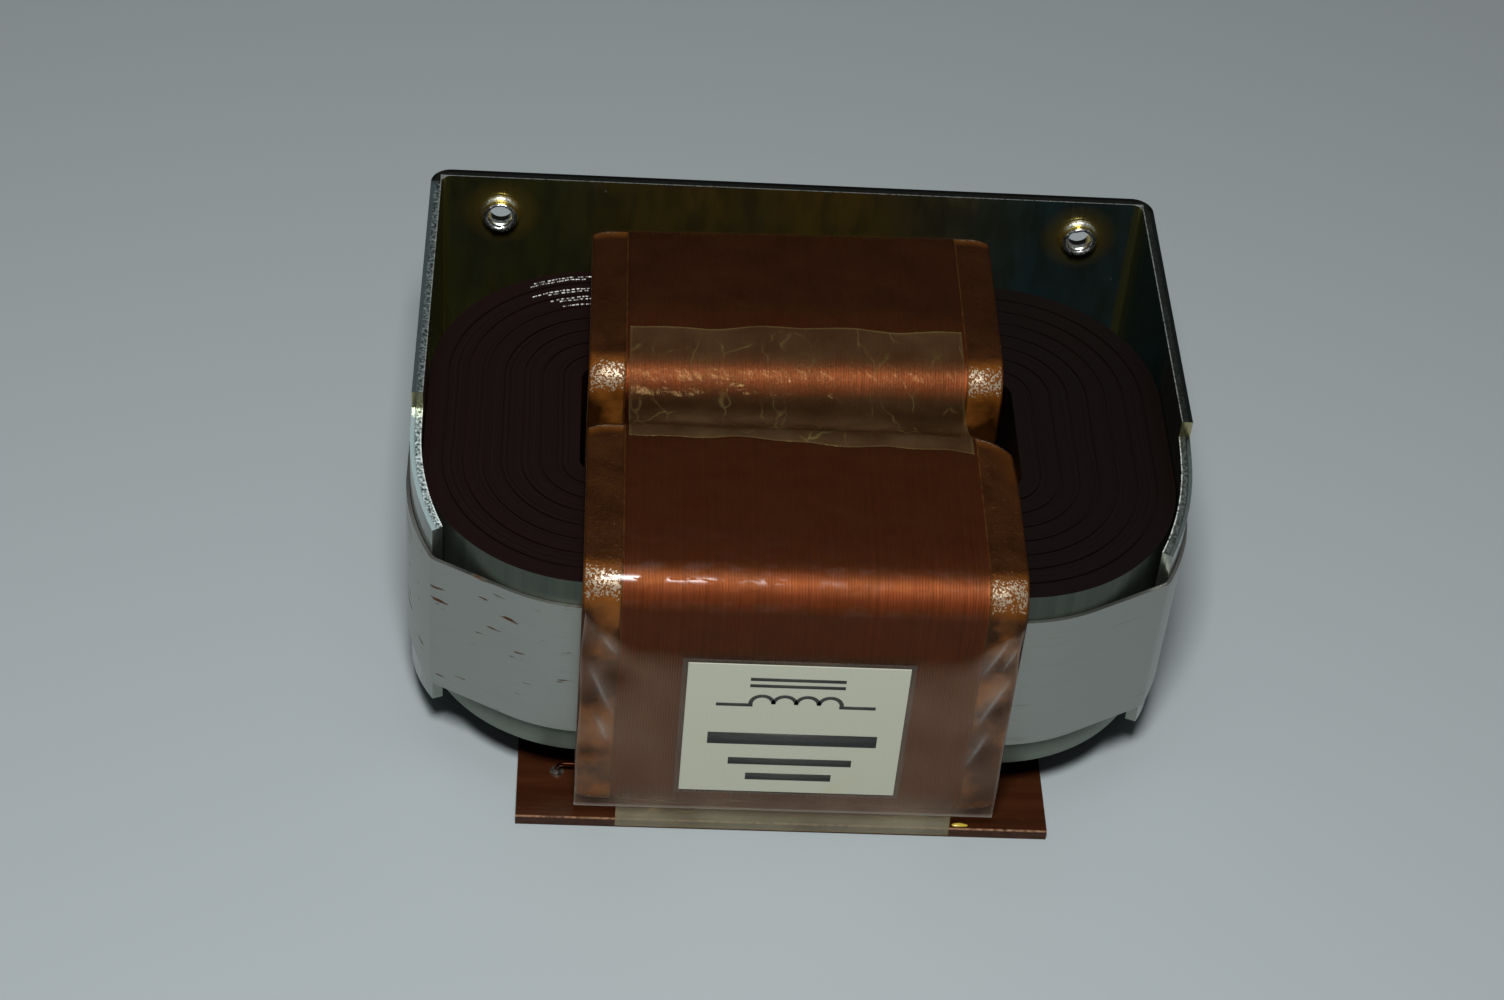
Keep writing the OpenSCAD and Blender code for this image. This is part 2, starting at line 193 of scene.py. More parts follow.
# Distance from the line on which the strip's corners turn, so that the lines run round the core
across = minus(unsigned(x), (core_high.x - core_low.x) / 2 - core_corner)
along = unsigned(minus(y, core_mid.y))
along = minus(along, (core_high.y - core_low.y) / 2 - core_corner)
corner = put(tree, "CombineXYZ", {0: calc("MAXIMUM", across, 0.0), 1: calc("MAXIMUM", along, 0.0)})
straight = calc("MINIMUM", calc("MAXIMUM", across, along), 0.0)
turn = plus(length_of(corner), straight)
outermost = within(turn, core_corner - 0.0008, core_corner - 0.0004)
turn = plus(turn, times(grain(place, 60, 2), 0.0012))
strips = lines(turn, 2600, 2.0)
coarse = lines(turn, 420, 1.0)
edge_tone = mix(within(strips, 0.35, 0.7), (0.0048, 0.0013, 0.0013), (0.0072, 0.0019, 0.0019))
edge_tone = mix(within(coarse, 0.45, 0.75, 0.0, 0.2), edge_tone, (0.011, 0.0027, 0.0028))
edge_tone = mix(within(x, 0.0, 0.03, 0.0, 0.8), edge_tone, (0.0032, 0.0018, 0.0012))
# The outermost turn shows the strip's own grey-green face, painted paler along its lower edge as a highlight
# of light from the floor
upright_face = within(unsigned(surface_axes(tree)[2]), 0.6, 0.4)
side = times(upright_face, outermost)
roll = grain(place, 900, 2, (1, 1, 0.05))
strip_tone = mix(roll, (0.048, 0.058, 0.046), (0.10, 0.115, 0.094))
# Painted highlight: the strip's face is paler along its lower edge
painted_lower_highlight = within(z, core_low.z + 0.004, core_low.z + 0.001, 0.0, 0.7)
strip_tone = mix(painted_lower_highlight, strip_tone, (0.22, 0.25, 0.21))
feed(shader, "Base Color", mix(side, edge_tone, strip_tone))
feed(shader, "Metallic", times(side, 0.75))
feed(shader, "Roughness", within(strips, 0.3, 0.7, 0.29, 0.38))
emboss(shader, 0.03, 0.0001, strips)
paint(core_finish, "core_half_left", "core_half_right")

# Thin ridges of varnish along the strip's edges at the rear left corner, where it ran off and dried; their
# pale patches are a painted glint
varnish, tree, shader = finish("varnish_ridges", {"Roughness": 0.15, "Specular IOR Level": 0.8})
# Pale patches painted as glints along the ridges
patchy_painted_glint = within(grain(on_piece(tree), 2600, 2), 0.4, 0.6)
feed(shader, "Base Color", mix(patchy_painted_glint, (0.06, 0.05, 0.05), (0.74, 0.75, 0.72)))
centre = Vector((core_low.x + core_corner, core_high.y - core_corner, core_high.z))
ridge_radius = 0.00011
bm = bmesh.new()
# Each row of ridges as its radius round the corner and the degrees between which it lies
for radius, start, end in ((0.0222, 64, 84), (0.0217, 62, 84), (0.0196, 60, 84), (0.0191, 66, 84),
                           (0.0178, 66, 85), (0.0173, 70, 84), (0.0162, 70, 85)):
    angle = start
    while angle < end:
        length = 1.2 + 3.4 * abs(noise.noise(Vector((angle, radius * 3000, 2.0))))
        ring = bmesh.ops.create_circle(bm, cap_ends=False, segments=6, radius=ridge_radius)["verts"]
        stand = Matrix.Translation((radius, 0, 0)) @ Matrix.Rotation(math.pi / 2, 4, "X")
        stand = Matrix.Rotation(math.radians(180 - angle), 4, "Z") @ stand
        bmesh.ops.transform(bm, verts=ring, matrix=Matrix.Translation(centre) @ stand)
        edges = list({e for v in ring for e in v.link_edges})
        bmesh.ops.spin(bm, geom=ring + edges, cent=centre, axis=(0, 0, 1), angle=-math.radians(length),
                       steps=6, use_duplicate=False)
        angle += length + 0.4 + 1.6 * abs(noise.noise(Vector((angle, radius * 3000, 9.0))))
bmesh.ops.holes_fill(bm, edges=bm.edges[:], sides=6)
for vert in bm.verts:
    vert.co += Vector((0.00012 * noise.noise(vert.co * 700), 0.00012 * noise.noise(vert.co * 640),
                       0.00005 * noise.noise(vert.co * 900)))
add_piece("core_varnish_ridges", bm, varnish, "core_strip")


# Coil formers: rectangular tubes of pressed board round each core leg, on which the coils are wound.
# The air-gap spacers are cut from the same tan board.
board_fibre, tree, shader = finish("pressed_board", {"Roughness": 0.8})
fibres = grain(on_piece(tree), 1400, 4, (0.25, 1, 1))
feed(shader, "Base Color", mix(fibres, (0.20, 0.12, 0.05), (0.42, 0.29, 0.15)))
emboss(shader, 0.3, 0.0001, fibres)
paint(board_fibre, "coil_former_front", "coil_former_rear", "gap_spacer_front", "gap_spacer_rear")


# Windings: enamelled copper wire laid side by side, layer on layer, round each former.
# The turns of the outer layer stand out as fine ridges from front to back.
wire_pitch = 0.000364
wire_sink = 0.00011
wire_corner = 0.0048
wire_ease = 0.00003
bore_half_y, bore_half_z = 0.0128, 0.0183


def clamp(value):
    return max(0.0, min(1.0, value))


def end_outline(bm, x, middle, half_y, half_z, corner, segments, spacing=None):
    """A rectangle with rounded corners that stands across X, as a loop of edges."""
    bmesh.ops.create_grid(bm, x_segments=1, y_segments=1, size=1.0)
    reach = max(v.co.x for v in bm.verts)
    across_x = Matrix(((0, 0, 1, 0), (1, 0, 0, 0), (0, 1, 0, 0), (0, 0, 0, 1)))
    bmesh.ops.scale(bm, verts=bm.verts[:], vec=(half_y / reach, half_z / reach, 1))
    bmesh.ops.transform(bm, verts=bm.verts[:], matrix=Matrix.Translation((x, middle.y, middle.z)) @ across_x)
    bmesh.ops.bevel(bm, geom=bm.verts[:], offset=corner, offset_type="OFFSET", segments=segments,
                    profile=0.5, affect="VERTICES", material=-1)
    bmesh.ops.delete(bm, geom=bm.faces[:], context="FACES_ONLY")
    if spacing:
        for edge in [e for e in bm.edges if e.calc_length() > 2 * spacing]:
            bmesh.ops.subdivide_edges(bm, edges=[edge], cuts=int(edge.calc_length() / spacing) - 1)
    return bm.edges[:]


def grow(bm, loop):
    """Extrudes a loop of edges, and gives back the new vertices, still in place, and the new loop."""
    made = bmesh.ops.extrude_edge_only(bm, edges=loop)["geom"]
    verts = [g for g in made if isinstance(g, bmesh.types.BMVert)]
    fresh = set(verts)
    return verts, [g for g in made if isinstance(g, bmesh.types.BMEdge) and all(v in fresh for v in g.verts)]


def draw_out(bm, loop, middle, step, size_y=1.0, size_z=1.0):
    """Extrudes a loop of edges along X by a step, and sizes its new end about the coil's middle line."""
    verts, loop = grow(bm, loop)
    bmesh.ops.translate(bm, verts=verts, vec=(step, 0, 0))
    if (size_y, size_z) != (1.0, 1.0):
        bmesh.ops.scale(bm, verts=verts, vec=(1, size_y, size_z), space=Matrix.Translation(-middle))
    return loop


def bore_out(bm, first, last, middle, half_y, half_z):
    """Closes a shell's two ends down to the former, and makes the bore between them."""
    sizes = bore_half_y / half_y, bore_half_z / half_z
    first, last = (draw_out(bm, loop, middle, 0.0, *sizes) for loop in (first, last))
    bmesh.ops.bridge_loops(bm, edges=first + last)


# The rear coil sits turned a little on its leg, with its front edge swollen into the valley
valley_y = (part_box("winding_front")[1].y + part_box("winding_rear")[0].y) / 2
rear_turn, rear_shift, rear_swell = 0.031, 0.0002, 0.0013
swell_start, swell_end, swell_fall, turn_start = 0.005, 0.0147, 0.0075, 0.0045


def settle(point):
    """Moves a point of the rear coil to where the coil really sits."""
    from_valley = max(0.0, point.y - valley_y)
    swell = clamp(from_valley / swell_start) * clamp((swell_end - from_valley) / swell_fall)
    swell = swell * swell * (3 - 2 * swell)
    point.y += clamp(from_valley / turn_start) * (rear_turn * point.x - rear_shift) - rear_swell * swell


wire_finish, tree, shader = finish("enamelled_wire", {
    "Metallic": 1.0, "Specular Tint": (1.0, 0.4, 0.18, 1.0)})
place = on_piece(tree)
x, y = axes(place)[:2]
by_turn = within(lines(x, 1700, 2.0), 0.25, 0.75)
enamel = mix(by_turn, (0.165, 0.030, 0.0095), (0.232, 0.046, 0.0145))
patch = within(grain(place, 110, 3), 0.35, 0.75, 0.0, 0.5)
enamel = mix(patch, enamel, (0.225, 0.048, 0.014))
# The rear coil is darker behind the tape, from a ragged border on
ragged = plus(y, times(grain(place, 300, 4, (1, 0.4, 1)), 0.004))
enamel = mix(within(ragged, 0.015, 0.0185, 0.0, 0.86), enamel, (0.05, 0.0125, 0.0115))
# The wire's colour is painted lighter where it turns round the coil's corners and on the tops near the front
# edges: a painted highlight
facing = surface_axes(tree, smooth=True)
painted_corner_highlight = times(within(facing[1], -0.08, -0.75), within(facing[2], 0.0, 0.35))
front_edge, rear_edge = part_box("winding_front")[0].y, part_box("winding_rear")[0].y
off_edge = calc("MINIMUM", minus(y, front_edge), unsigned(minus(y, rear_edge)))
# Broad painted wings of the highlight on the coils' tops near their front edges
glow = times(within(off_edge, 0.0095, 0.0045, 0.0, 0.16), within(facing[2], 0.5, 0.9))
painted_corner_highlight = calc("MAXIMUM", painted_corner_highlight, glow)
painted_highlight_copper = mix(by_turn, (0.56, 0.125, 0.036), (0.78, 0.20, 0.062))
feed(shader, "Base Color", mix(painted_corner_highlight, enamel, painted_highlight_copper))
dull = within(grain(place, 700, 3), 0.3, 0.7, 0.46, 0.54)
feed(shader, "Roughness", plus(dull, times(painted_corner_highlight, 0.1)))

for coil in ("front", "rear"):
    low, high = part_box("winding_" + coil)
    middle = (low + high) / 2
    half_y, half_z = (high.y - low.y) / 2 - wire_ease, (high.z - low.z) / 2 - wire_ease
    turns = round((high.x - low.x) / wire_pitch)
    pitch = (high.x - low.x) / turns
    bm = bmesh.new()
    loop = first = end_outline(bm, low.x, middle, half_y - wire_sink, half_z - wire_sink, wire_corner, 8)
    sink = wire_sink
    for turn in range(turns):
        # Each turn's round back, as steps across the wire and the share of the sink at their ends
        for share, depth in ((0.2, 0.25), (0.3, 0.0), (0.3, 0.25), (0.2, 1.0)):
            new_sink = depth * wire_sink
            loop = draw_out(bm, loop, middle, share * pitch, (half_y - new_sink) / (half_y - sink),
                            (half_z - new_sink) / (half_z - sink))
            sink = new_sink
    if coil == "rear":
        for vert in bm.verts:
            settle(vert.co)
    bore_out(bm, first, loop, middle, half_y, half_z)
    add_piece("wire_turns_" + coil, bm, wire_finish, "copper_wire", "winding_" + coil)


# Film margins: the layer films stand out beyond the wire at both ends of a coil, pressed into a
# stack and soaked with amber varnish, which leaves their outer ends a little rounded and crinkled.
margin_round = 0.0006
margin_ease, margin_inset = 0.00004, 0.00003
margin_steps, outline_spacing = 12, 0.0012
droop_depth, droop_length, droop_height = 0.0028, 0.013, 0.012


def outward(point, middle, half_y, half_z, corner):
    """Direction from a coil's inside to a point on its rounded outline, and how much of a corner it is."""
    y, z = point.y - middle.y, point.z - middle.z
    inner_y = max(-half_y + corner, min(half_y - corner, y))
    inner_z = max(-half_z + corner, min(half_z - corner, z))
    away = Vector((0, y - inner_y, z - inner_z))
    if away.length < 1e-7:
        return Vector((0, 0, 0)), 0.0
    away.normalize()
    return away, min(1.0, 2.0 * abs(away.y * away.z))


def crinkle(point, fineness, depth):
    return depth * noise.fractal(point * fineness, 0.9, 2.0, 3)


def end_sag(reach, turned):
    """How far a margin's outer end is pressed in, most at the coil's corners."""
    return margin_round * (0.35 + 0.65 * turned) * max(0.0, reach - 0.45) ** 2 / 0.3


def droop(point, reach, edge_y, top_z):
    """How far the free corner of the front coil's right end hangs down beside the valley."""
    by_edge = clamp(1 - (edge_y - point.y) / droop_length)
    by_top = clamp(1 - (top_z - point.z) / droop_height)
    return droop_depth * reach ** 1.4 * by_edge ** 1.5 * by_top


margin_finish, tree, shader = finish("amber_film_stack", {"Specular IOR Level": 0.12})
place = on_piece(tree)
blotch = grain(place, 240, 4)
amber = mix(within(blotch, 0.3, 0.75), (0.020, 0.0054, 0.0011), (0.060, 0.0195, 0.0032))
on_rear = within(axes(place)[1], 0.008, 0.013, 0.0, 0.6)
amber = mix(on_rear, amber, (0.016, 0.0042, 0.0009))
# Cut film edges at the coil's ends, in fine layers
stack = grain(place, 2400, 2)
ends = within(unsigned(surface_axes(tree)[0]), 0.6, 0.9)
cut = mix(stack, (0.045, 0.016, 0.004), (0.20, 0.085, 0.022))
# Where the films bend round the coil the amber is painted golden as a highlight, with small golden and white
# flakes of painted sparkle
facing = surface_axes(tree, smooth=True)
painted_corner_highlight = unsigned(times(facing[1], facing[2]))
amber = mix(within(painted_corner_highlight, 0.05, 0.36, 0.0, 0.85), amber, (0.25, 0.078, 0.0075))
glow = times(within(facing[1], -0.8, -0.95), within(grain(place, 130, 3), 0.46, 0.62))
amber = mix(glow, amber, (0.34, 0.115, 0.018))
painted_sparkle_flake = axes(put(tree, "TexVoronoi", {"Vector": place, "Scale": 5000}, 1))[0]
crowd = within(grain(place, 330, 3), 0.3, 0.55, 0.38, 0.84)
dense = times(within(painted_corner_highlight, 0.24, 0.5), crowd)
# The flakes' pale tones are painted sparkle
shine = mix(painted_sparkle_flake, (0.34, 0.17, 0.04), (0.70, 0.62, 0.47))
painted_sparkle_flake = within(plus(painted_sparkle_flake, dense), 1.08, 1.2)
amber = mix(painted_sparkle_flake, amber, shine)
feed(shader, "Metallic", times(painted_sparkle_flake, 0.4))
feed(shader, "Base Color", mix(ends, amber, cut))
feed(shader, "Roughness", within(blotch, 0.3, 0.7, 0.3, 0.5))
emboss(shader, 0.6, 0.0001, stack)

for coil in ("front", "rear"):
    for end, side in (("left", -1), ("right", 1)):
        node = "margin_%s_%s" % (coil, end)
        low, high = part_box(node)
        middle = (low + high) / 2
        half_y, half_z = (high.y - low.y) / 2 - margin_ease, (high.z - low.z) / 2 - margin_ease
        start = high.x if side < 0 else low.x
        bm = bmesh.new()
        loop = first = end_outline(bm, start, middle, half_y, half_z, wire_corner, 10, outline_spacing)
        for step in range(margin_steps):
            loop = draw_out(bm, loop, middle, side * (high.x - low.x) / margin_steps)
        for vert in bm.verts:
            away, turned = outward(vert.co, middle, half_y, half_z, wire_corner)
            reach = abs(vert.co.x - start) / (high.x - low.x)
            wrinkle = abs(crinkle(vert.co, 900, 0.00002)) * reach
            vert.co -= away * (end_sag(reach, turned) + margin_inset + wrinkle)
            if node == "margin_front_right":
                vert.co.z -= droop(vert.co, reach, high.y, high.z)
            if coil == "rear":
                settle(vert.co)
        bore_out(bm, first, loop, middle, half_y, half_z)
        add_piece("film_edges_%s_%s" % (coil, end), bm, margin_finish, "margin_film", node)


# Coil wraps: a clear amber film wound round each coil, pulled tight over the wire and
# crinkled over the softer margins, with its own gloss.
wrap_corner = 0.005
wrap_thick, wrap_inset = 0.0001, 0.00002


def thicken(sheet, thickness):
    """Gives a sheet of film its thickness, inwards from the face that shows."""
    wall = sheet.modifiers.new("film thickness", "SOLIDIFY")
    wall.thickness = thickness
    wall.offset = -1.0


wrap_finish, tree, shader = finish("amber_wrap", {
    "IOR": 1.65, "Specular Tint": (1.0, 0.44, 0.17, 1.0), "Coat Roughness": 0.17})
place = on_piece(tree)
x, y, z = axes(place)
veil = grain(place, 210, 4)
low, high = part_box("winding_front")
half_wire = (high.x - low.x) / 2
off_middle = unsigned(minus(x, (low.x + high.x) / 2))
on_margin = within(off_middle, half_wire - 0.0006, half_wire + 0.0004)
seam = within(unsigned(minus(off_middle, half_wire)), 0.00003, 0.00014, 1.0, 0.0)
seam = times(seam, within(grain(place, 700, 2), 0.3, 0.6))
tint = mix(veil, (0.012, 0.0034, 0.001), (0.034, 0.010, 0.003))
feed(shader, "Base Color", mix(seam, tint, (0.10, 0.045, 0.01)))
cover = plus(within(veil, 0.35, 0.7, 0.26, 0.34), times(seam, 0.1))
feed(shader, "Alpha", minus(cover, times(on_margin, 0.12)))
# Smooth and wavy over the wire, grained over the margins and all over the rear coil
on_rear = within(y, low.y + 0.035, low.y + 0.038, 0.0, 0.45)
grained = calc("MAXIMUM", on_margin, on_rear)
ripple = times(grain(place, 420, 2, (0.6, 1, 1)), 0.7)
emboss(shader, 1.0, 0.0003, plus(ripple, times(grain(place, 2300, 2), grained)))
feed(shader, "Roughness", within(on_margin, 0.0, 1.0, 0.5, 0.3))
# Short glossy runs of varnish on the upper edge of the front coil, more on its left
dash = within(grain(place, 1100, 2, (0.4, 1, 1)), 0.47, 0.53)
dash = times(dash, within(grain(place, 240, 2), 0.42, 0.52),
             within(x, 0.024, -0.008, 0.5, 1.0), within(y, low.y + 0.012, low.y + 0.009),
             within(z, high.z - 0.005, high.z - 0.004))
feed(shader, "Coat Weight", dash)

for coil in ("front", "rear"):
    low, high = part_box("coil_wrap_" + coil)
    wire_low, wire_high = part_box("winding_" + coil)
    middle = (low + high) / 2
    half_y, half_z = (high.y - low.y) / 2, (high.z - low.z) / 2
    bm = bmesh.new()
    loop = end_outline(bm, low.x, middle, half_y, half_z, wrap_corner, 10, outline_spacing)
    for start, end, steps in ((low.x, wire_low.x, 14), (wire_low.x, wire_high.x, 36),
                              (wire_high.x, high.x, 14)):
        for step in range(steps):
            loop = draw_out(bm, loop, middle, (end - start) / steps)
    for vert in bm.verts:
        away, turned = outward(vert.co, middle, half_y, half_z, wrap_corner)
        reach = max(wire_low.x - vert.co.x, vert.co.x - wire_high.x, 0.0) / (wire_low.x - low.x)
        loose = 0.000015 + 0.00002 * min(1.0, 3.0 * reach)
        vert.co -= away * (end_sag(reach, turned) + wrap_inset + abs(crinkle(vert.co, 650, loose)))
        if coil == "front" and vert.co.x > wire_high.x:
            vert.co.z -= droop(vert.co, reach, high.y, high.z)
        if coil == "rear":
            settle(vert.co)
    thicken(add_piece("wrap_film_" + coil, bm, wrap_finish, "wrap_film", "coil_wrap_" + coil), wrap_thick)


# Terminal board: a punched board of phenolic paper under the coils, polished dark red-brown,
# with a pale painted highlight along its worn upper front edge.
board_low, board_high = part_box("terminal_board")
phenolic, tree, shader = finish("phenolic_board", {
    "Specular IOR Level": 0.16, "Coat Weight": 0.05, "Coat Roughness": 0.15})
place = on_piece(tree)
y, z = axes(place)[1:]
streak = grain(place, 420, 5, (0.08, 1, 1))
fleck = grain(place, 2600, 2, (0.3, 1, 1))
brown = mix(within(streak, 0.3, 0.7), (0.020, 0.0055, 0.0020), (0.042, 0.0125, 0.0042))
brown = mix(within(fleck, 0.62, 0.8, 0.0, 0.25), brown, (0.09, 0.03, 0.01))
sheared = within(unsigned(surface_axes(tree)[2]), 0.6, 0.4)
layers = within(grain(place, 1800, 3, (0.4, 0.4, 2)), 0.4, 0.7)
brown = mix(times(sheared, layers, 0.6), brown, (0.07, 0.026, 0.012))
# Painted highlight: a pale line along the board's upper front edge
painted_edge_highlight = times(within(y, board_low.y + 0.0003, board_low.y + 0.0001),
            within(z, board_high.z - 0.0002, board_high.z - 0.00012),
            within(grain(place, 1600, 3), 0.25, 0.6))
feed(shader, "Base Color", mix(painted_edge_highlight, brown, (0.32, 0.18, 0.10)))
feed(shader, "Roughness", within(streak, 0.3, 0.7, 0.18, 0.36))
emboss(shader, 0.25, 0.0001, fleck)
paint(phenolic, "terminal_board")


# Eyelets and leads: tinned brass eyelets flared into the board, each with the end of a coil wire
# bent down into it and a cone of solder over the joint.
eyelets = ["front_left", "front_right", "rear_left", "rear_right"]
tin, tree, shader = finish("tinned_brass", {"Metallic": 1.0})
dull = grain(on_piece(tree), 1500, 3)
feed(shader, "Base Color", mix(dull, (0.55, 0.47, 0.36), (0.92, 0.84, 0.70)))
feed(shader, "Roughness", within(dull, 0.3, 0.7, 0.2, 0.42))
paint(tin, *["eyelet_" + spot for spot in eyelets])

lead_finish, tree, shader = finish("soldered_wire", {"Metallic": 1.0})
place = on_piece(tree)
mottle = grain(place, 1800, 3)
copper = mix(mottle, (0.020, 0.006, 0.003), (0.05, 0.014, 0.006))
solder = mix(mottle, (0.38, 0.38, 0.36), (0.66, 0.66, 0.63))
height = plus(axes(place)[2], times(mottle, 0.0004))
feed(shader, "Base Color", mix(within(height, 0.0021, 0.0024), solder, copper))
feed(shader, "Roughness", within(mottle, 0.3, 0.7, 0.22, 0.4))
paint(lead_finish, *["lead_" + spot for spot in eyelets])


# Face film: a stiff milky film on the front coil's face, clear where it clings to the coil. It is
# drawn up at its upper corners, loose and folded along both sides, with a straight lower edge.
film_low, film_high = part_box("face_film")
film_rise, film_rise_width = 0.0063, 0.007
film_thick, film_stand, film_loose = 0.00005, 0.00006, 0.003

# Haze of the clear films: a cloudy tint, pale veins where a film is creased, and painted highlight lines
# along its folds and edges
film_haze, given, result = new_group(
    "film_haze", {"Tint Low": "Color", "Tint High": "Color", "Cover Low": "Float", "Cover High": "Float",
                  "Vein Tone": "Color", "Vein Cover": "Float", "Vein Stretch": "Vector"},
    {"Tone": "Color", "Cover": "Float", "Wrinkle": "Float"})
place = on_piece(film_haze)
painted_highlight_line = put(film_haze, "Attribute", {}, 2, attribute_name="painted_highlight_line")
hold = put(film_haze, "Attribute", {}, 2, attribute_name="hold")
cloud = within(grain(place, 130, 4), 0.3, 0.7)
warp = put(film_haze, "TexNoise", {"Vector": place, "Scale": 200, "Detail": 2.0}, 1)
warp = put(film_haze, "VectorMath", {0: warp, 3: 0.004}, operation="SCALE")
bent = put(film_haze, "VectorMath", {0: place, 1: warp}, operation="ADD")
bent = put(film_haze, "Mapping", {"Vector": bent, "Scale": given["Vein Stretch"]})
cells = put(film_haze, "TexVoronoi", {"Vector": bent, "Scale": 240}, 0, feature="DISTANCE_TO_EDGE")
vein_and_highlight = times(within(cells, 0.008, 0.035, 1.0, 0.0),
             within(grain(place, 150, 2), 0.5, 0.62), given["Vein Cover"])
# Painted highlight lines along folds and edges join the veins
vein_and_highlight = calc("MAXIMUM", vein_and_highlight, painted_highlight_line)
tone = mix(cloud, given["Tint Low"], given["Tint High"])
film_haze.links.new(mix(vein_and_highlight, tone, given["Vein Tone"]), result["Tone"])
cover = times(within(cloud, 0.0, 1.0, given["Cover Low"], given["Cover High"]), hold)
cover = plus(cover, times(vein_and_highlight, 0.35))
# A film has two faces, so each lets through the root of what both together do
clear = calc("SQRT", minus(1.0, cover))
film_haze.links.new(minus(1.0, clear), result["Cover"])
wrinkle = plus(times(vein_and_highlight, 0.6), grain(place, 420, 5))
film_haze.links.new(wrinkle, result["Wrinkle"])


def clear_film(name, tints, covers, vein_and_highlight_tone, vein_cover, vein_stretch, shine, crinkled):
    """Glossy clear film with its own haze, tint of gloss and depth of wrinkles."""
    material, tree, shader = finish(name, {
        "Specular IOR Level": 0.6, "Roughness": 0.2, "Specular Tint": (*shine, 1.0)})
    haze = put(tree, "Group", {
        "Tint Low": (*tints[0], 1.0), "Tint High": (*tints[1], 1.0), "Cover Low": covers[0],
        "Cover High": covers[1], "Vein Tone": (*vein_and_highlight_tone, 1.0), "Vein Cover": vein_cover,
        "Vein Stretch": vein_stretch}, node_tree=film_haze).node.outputs
    feed(shader, "Base Color", haze["Tone"])
    feed(shader, "Alpha", haze["Cover"])
    emboss(shader, crinkled, 0.0003, haze["Wrinkle"])
    return material


def sheet_grid(columns, rows):
    """A flat grid from 0 to 1 in X and Y, to be laid on the coils, with layers for painted highlight lines
    and milkiness.
    """
    bm = bmesh.new()
    bmesh.ops.create_grid(bm, x_segments=columns, y_segments=rows, size=1.0)
    low = min(v.co.x for v in bm.verts)
    bmesh.ops.translate(bm, verts=bm.verts[:], vec=(-low, -low, 0))
    bmesh.ops.scale(bm, verts=bm.verts[:], vec=(-0.5 / low, -0.5 / low, 1))
    return bm, bm.verts.layers.float.new("painted_highlight_line"), bm.verts.layers.float.new("hold")


def near(value, middle, width):
    """1 at the middle of a fold, falling to 0 at its width."""
    return max(0.0, 1.0 - abs(value - middle) / width)


def by_fold(point, start, end):
    """How far a point lies to one side of a fold, and how much of the fold is there."""
    line = end - start
    along = (point - start).dot(line) / line.length_squared
    aside = (line.x * (point.y - start.y) - line.y * (point.x - start.x)) / line.length
    return aside, max(0.0, 1 - (2 * along - 1) ** 2)


# Folds as their upper and lower ends on the face, in X and Z, and their width and height
film_folds = [(Vector((-0.0277, 0.0319)), Vector((-0.0238, 0.0213)), 0.0011, 0.00036),
              (Vector((-0.0262, 0.0372)), Vector((-0.0240, 0.0330)), 0.0009, 0.0002),
              (Vector((-0.0264, 0.0220)), Vector((-0.0246, 0.0165)), 0.0009, 0.00014),
              (Vector((0.0262, 0.0395)), Vector((0.0226, 0.0308)), 0.0012, 0.00032),
              (Vector((0.0268, 0.0318)), Vector((0.0230, 0.0212)), 0.0013, 0.00036),
              (Vector((0.0252, 0.0212)), Vector((0.0226, 0.0135)), 0.0012, 0.0002),
              (Vector((0.0276, 0.0372)), Vector((0.0256, 0.0325)), 0.0007, 0.0002)]
# Spots where the film clings to the coil and shows its amber, as X, Z and radius
film_clings = [(-0.0272, 0.0245, 0.0034), (-0.0282, 0.0335, 0.0026), (-0.0262, 0.0055, 0.0032),
               (-0.0245, 0.0290, 0.0022), (-0.0275, 0.0140, 0.0024), (0.0252, 0.0340, 0.0018),
               (0.0262, 0.0252, 0.0020), (0.0256, 0.0062, 0.0034), (0.0245, 0.0165, 0.0024)]
face_film_finish = clear_film("milky_film", ((0.37, 0.22, 0.145), (0.45, 0.29, 0.195)), (0.16, 0.22),
                              (0.52, 0.53, 0.50), 0.1, (1, 1, 1), (1.0, 1.0, 1.0), 0.15)
bm, painted_highlight_line, hold = sheet_grid(150, 100)
for vert in bm.verts:
    u, v = vert.co.x, vert.co.y
    x = film_low.x + u * (film_high.x - film_low.x)
    from_side = min(x - film_low.x, film_high.x - x)
    end = -1 if u < 0.5 else 1
    top = film_high.z - film_rise * min(1.0, from_side / film_rise_width)
    z = film_low.z + v * (top - film_low.z)
    spot = Vector((x, z))
    by_side = v * max(0.0, 1 - from_side / film_loose)
    lift = 0.00022 * by_side * (1 + math.sin(z * 610 + 2.2 * end))
    lift += 0.00003 * noise.noise(Vector((x * 160, 7.0, z * 160)))
    # Painted highlights: pale lines along the film's sides and lower edge, and a pale sheen along each fold,
    # strongest just to one side of it
    painted_sheen = 0.45 * near(from_side, 0.0, 0.0004) + 0.8 * near(v, 0.0, 0.016)
    for upper, lower, width, height in film_folds:
        aside, there = by_fold(spot, upper, lower)
        across = end * aside / width
        lift += height * there * math.exp(-across ** 2)
        painted_sheen += there * (0.28 * math.exp(-across ** 2) + 0.55 * math.exp(-16 * (across - 0.3) ** 2))
    milky = min(1.0, (top - z) / (0.001 + 0.004 * min(1.0, from_side / 0.012)))
    for cling_x, cling_z, radius in film_clings:
        milky *= 1 - 0.8 * math.exp(-((spot - Vector((cling_x, cling_z))).length / radius) ** 2)
    vert[painted_highlight_line] = min(1.0, painted_sheen)
    vert[hold] = milky * (1 + 0.9 * near(v, 0.0, 0.14))
    inward = 0.0002 * by_side * (1 + math.sin(z * 330 + (0.4 if end < 0 else 2.0)))
    vert.co = Vector((x - end * inward, film_high.y - film_stand - max(0.0, lift), z))
thicken(add_piece("milky_face_film", bm, face_film_finish, "clear_film", "face_film"), film_thick)


